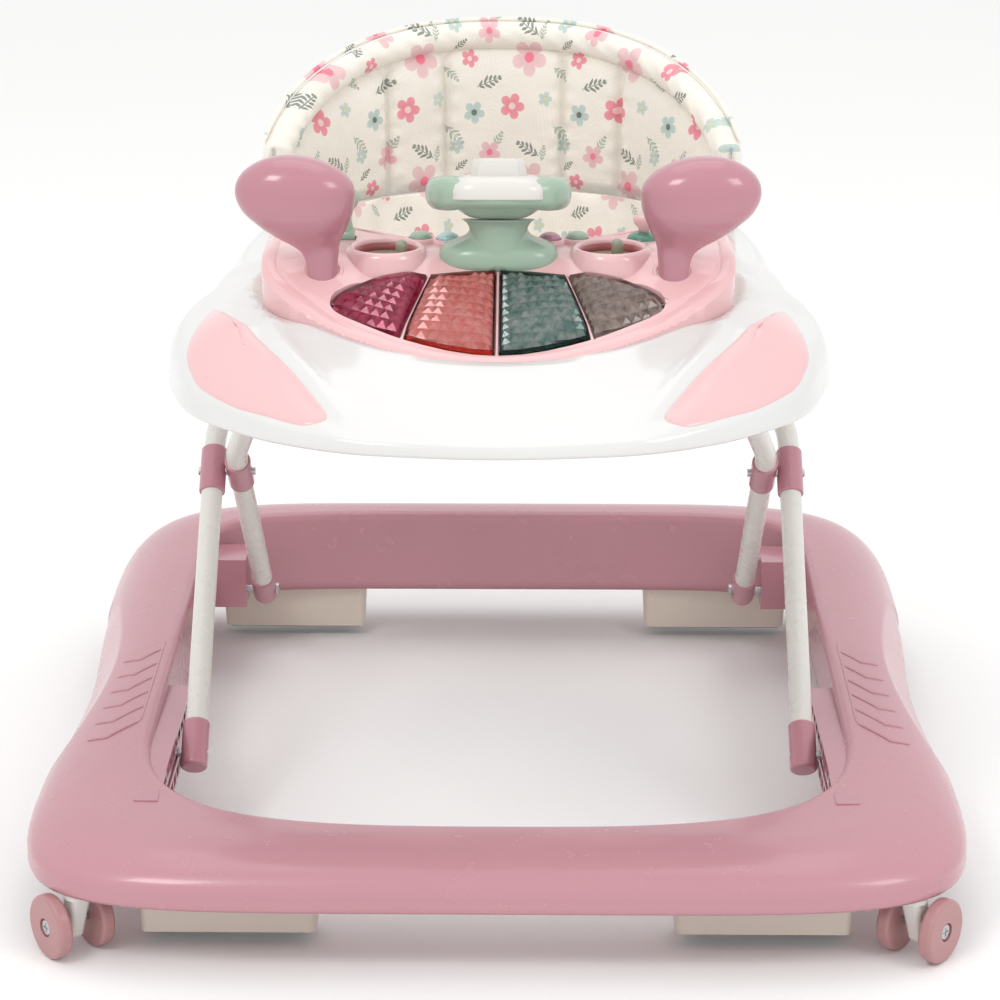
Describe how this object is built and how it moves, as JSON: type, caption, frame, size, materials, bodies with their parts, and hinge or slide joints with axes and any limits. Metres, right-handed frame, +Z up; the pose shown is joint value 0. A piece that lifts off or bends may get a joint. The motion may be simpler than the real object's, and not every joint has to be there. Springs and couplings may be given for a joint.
{
  "type": "baby walker",
  "caption": "Folding baby walker: rounded base ring on swivel castors, X-frame legs, car-style play tray with toys, and a padded fabric seat with a high back.",
  "frame": {"origin": "centre of the base's footprint, on the floor", "axes": "+Z up, +Y towards the walker's rear and backrest (the child faces -Y), +X across, to the right when seen from in front"},
  "size_m": [0.6444, 0.7064, 0.536],
  "materials": {
    "base_pink": "moulded, semi-gloss",
    "cap_pink": "moulded, glossy",
    "wheel_pink": "moulded, satin",
    "white_plastic": "moulded, glossy",
    "cream_plastic": "moulded, satin",
    "grip_rubber": "matt",
    "steel": "bright zinc",
    "tube_white": "powder coat, glossy",
    "tray_white": "moulded, high gloss",
    "light_pink": "moulded, glossy",
    "sage_green": "moulded, glossy",
    "pale_blue": "moulded, glossy",
    "mauve": "moulded, glossy",
    "gem_magenta": "translucent, faceted",
    "gem_coral": "translucent, faceted",
    "gem_teal": "translucent, faceted",
    "gem_taupe": "translucent, faceted",
    "mirror_film": "mirror film",
    "seat_fabric": "printed woven polyester over foam"
  },
  "bodies": {
    "base": {"base_shell": "base_pink", "front_rails": "cap_pink", "rear_brackets": "cap_pink", "base_screws": "steel", "stop_pads": "cream_plastic", "stopper_grip_strips": "grip_rubber", "castor_sockets": "cap_pink"},
    "inner_legs": {"inner_tubes": "tube_white", "inner_foot_caps": "cap_pink", "inner_sleeves": "cap_pink", "inner_top_sliders": "cap_pink", "inner_foot_pins": "steel"},
    "outer_legs": {"outer_tubes": "tube_white", "outer_foot_caps": "cap_pink", "outer_sleeves": "cap_pink", "outer_leg_pins": "steel"},
    "tray": {"tray_shell": "tray_white", "headlights": "light_pink", "slot_channels": "white_plastic", "pivot_brackets": "white_plastic", "console_panel": "light_pink", "steering_base": "sage_green", "battery_box": "white_plastic", "battery_cover": "white_plastic", "battery_cover_screws": "steel", "seat_ring": "white_plastic", "seat_sling": "seat_fabric", "backrest_pad": "seat_fabric", "backrest_board": "white_plastic"},
    "steering": {"steering_wheel": "sage_green", "wheel_insert": "white_plastic"},
    "horn": {"horn_button": "white_plastic"},
    "castor_front_left": {"castor_fork_front_left": "white_plastic"},
    "wheels_front_left": {"castor_wheels_front_left": "wheel_pink", "castor_axle_front_left": "steel"},
    "castor_front_right": {"castor_fork_front_right": "white_plastic"},
    "wheels_front_right": {"castor_wheels_front_right": "wheel_pink", "castor_axle_front_right": "steel"},
    "castor_rear_left": {"castor_fork_rear_left": "white_plastic"},
    "wheels_rear_left": {"castor_wheels_rear_left": "wheel_pink", "castor_axle_rear_left": "steel"},
    "castor_rear_right": {"castor_fork_rear_right": "white_plastic"},
    "wheels_rear_right": {"castor_wheels_rear_right": "wheel_pink", "castor_axle_rear_right": "steel"},
    "gem_magenta": {"gem_key_magenta": "gem_magenta"},
    "gem_coral": {"gem_key_coral": "gem_coral"},
    "gem_teal": {"gem_key_teal": "gem_teal"},
    "gem_taupe": {"gem_key_taupe": "gem_taupe"},
    "melody_1": {"melody_button_1": "sage_green"},
    "melody_2": {"melody_button_2": "pale_blue"},
    "melody_3": {"melody_button_3": "mauve"},
    "melody_4": {"melody_button_4": "sage_green"},
    "dial_body_left": {"dial_left": "sage_green"},
    "mirror_left": {"mirror_shell_left": "cap_pink", "mirror_glass_left": "mirror_film"},
    "dial_body_right": {"dial_right": "sage_green"},
    "mirror_right": {"mirror_shell_right": "cap_pink", "mirror_glass_right": "mirror_film"},
    "gear": {"gear_lever": "sage_green"},
    "key": {"ignition_key": "light_pink"}
  },
  "joints": [
    {"name": "swivel_front_left", "type": "hinge", "parent": "base", "child": "castor_front_left", "pos_m": [-0.277, -0.318, 0.044], "axis": [0, 0, 1], "continuous": true},
    {"name": "roll_front_left", "type": "hinge", "parent": "castor_front_left", "child": "wheels_front_left", "pos_m": [-0.28192, -0.3117, 0.022], "axis": [0.788, 0.6157, 0], "continuous": true},
    {"name": "swivel_front_right", "type": "hinge", "parent": "base", "child": "castor_front_right", "pos_m": [0.277, -0.318, 0.044], "axis": [0, 0, 1], "continuous": true},
    {"name": "roll_front_right", "type": "hinge", "parent": "castor_front_right", "child": "wheels_front_right", "pos_m": [0.28192, -0.3117, 0.022], "axis": [0.788, -0.6157, 0], "continuous": true},
    {"name": "swivel_rear_left", "type": "hinge", "parent": "base", "child": "castor_rear_left", "pos_m": [-0.29, 0.308, 0.044], "axis": [0, 0, 1], "continuous": true},
    {"name": "roll_rear_left", "type": "hinge", "parent": "castor_rear_left", "child": "wheels_rear_left", "pos_m": [-0.28675, 0.31531, 0.022], "axis": [0.9135, -0.4067, 0], "continuous": true},
    {"name": "swivel_rear_right", "type": "hinge", "parent": "base", "child": "castor_rear_right", "pos_m": [0.29, 0.308, 0.044], "axis": [0, 0, 1], "continuous": true},
    {"name": "roll_rear_right", "type": "hinge", "parent": "castor_rear_right", "child": "wheels_rear_right", "pos_m": [0.28675, 0.31531, 0.022], "axis": [0.9135, 0.4067, 0], "continuous": true},
    {"name": "fold", "type": "hinge", "parent": "base", "child": "inner_legs", "pos_m": [0, 0.216, 0.068], "axis": [1, 0, 0], "range_deg": [0, 28]},
    {"name": "leg_cross", "type": "hinge", "parent": "inner_legs", "child": "outer_legs", "pos_m": [0, 0.04044, 0.22497], "axis": [1, 0, 0], "range_deg": [-56.2, 0]},
    {"name": "tray_pivot", "type": "hinge", "parent": "outer_legs", "child": "tray", "pos_m": [0, 0.16717, 0.33828], "axis": [1, 0, 0], "range_deg": [0, 28.1]},
    {"name": "steering_turn", "type": "hinge", "parent": "tray", "child": "steering", "pos_m": [0, -0.128, 0.476], "axis": [0, 0.1736, 0.9848], "continuous": true},
    {"name": "horn_press", "type": "slide", "parent": "steering", "child": "horn", "axis": [0, -0.1736, -0.9848], "range_m": [0, 0.003], "stiffness_N_per_m": 400, "springref_m": -0.003},
    {"name": "gem_press_magenta", "type": "slide", "parent": "tray", "child": "gem_magenta", "axis": [0, 0.4429, -0.8966], "range_m": [0, 0.0025], "stiffness_N_per_m": 500, "springref_m": -0.003},
    {"name": "gem_press_coral", "type": "slide", "parent": "tray", "child": "gem_coral", "axis": [0, 0.4429, -0.8966], "range_m": [0, 0.0025], "stiffness_N_per_m": 500, "springref_m": -0.003},
    {"name": "gem_press_teal", "type": "slide", "parent": "tray", "child": "gem_teal", "axis": [0, 0.4429, -0.8966], "range_m": [0, 0.0025], "stiffness_N_per_m": 500, "springref_m": -0.003},
    {"name": "gem_press_taupe", "type": "slide", "parent": "tray", "child": "gem_taupe", "axis": [0, 0.4429, -0.8966], "range_m": [0, 0.0025], "stiffness_N_per_m": 500, "springref_m": -0.003},
    {"name": "melody_press_1", "type": "slide", "parent": "tray", "child": "melody_1", "axis": [0, 0, -1], "range_m": [0, 0.003], "stiffness_N_per_m": 300, "springref_m": -0.002},
    {"name": "melody_press_2", "type": "slide", "parent": "tray", "child": "melody_2", "axis": [0, 0, -1], "range_m": [0, 0.003], "stiffness_N_per_m": 300, "springref_m": -0.002},
    {"name": "melody_press_3", "type": "slide", "parent": "tray", "child": "melody_3", "axis": [0, 0, -1], "range_m": [0, 0.003], "stiffness_N_per_m": 300, "springref_m": -0.002},
    {"name": "melody_press_4", "type": "slide", "parent": "tray", "child": "melody_4", "axis": [0, 0, -1], "range_m": [0, 0.003], "stiffness_N_per_m": 300, "springref_m": -0.002},
    {"name": "dial_turn_left", "type": "hinge", "parent": "tray", "child": "dial_body_left", "pos_m": [-0.0765, -0.13, 0.436], "axis": [0, 0, 1], "continuous": true},
    {"name": "mirror_turn_left", "type": "hinge", "parent": "tray", "child": "mirror_left", "pos_m": [-0.118, -0.158, 0.43], "axis": [0, 0, 1], "range_deg": [-25, 25]},
    {"name": "dial_turn_right", "type": "hinge", "parent": "tray", "child": "dial_body_right", "pos_m": [0.0765, -0.13, 0.436], "axis": [0, 0, 1], "continuous": true},
    {"name": "mirror_turn_right", "type": "hinge", "parent": "tray", "child": "mirror_right", "pos_m": [0.118, -0.158, 0.43], "axis": [0, 0, 1], "range_deg": [-25, 25]},
    {"name": "gear_tilt", "type": "hinge", "parent": "tray", "child": "gear", "pos_m": [-0.106, -0.092, 0.437], "axis": [1, 0, 0], "range_deg": [-20, 20]},
    {"name": "key_turn", "type": "hinge", "parent": "tray", "child": "key", "pos_m": [0.1, -0.092, 0.436], "axis": [0, 0, 1], "range_deg": [-60, 60]}
  ],
  "couplings": [
    {"joint": "leg_cross", "follows": "fold", "ratio": -2},
    {"joint": "tray_pivot", "follows": "fold", "ratio": 1}
  ]
}
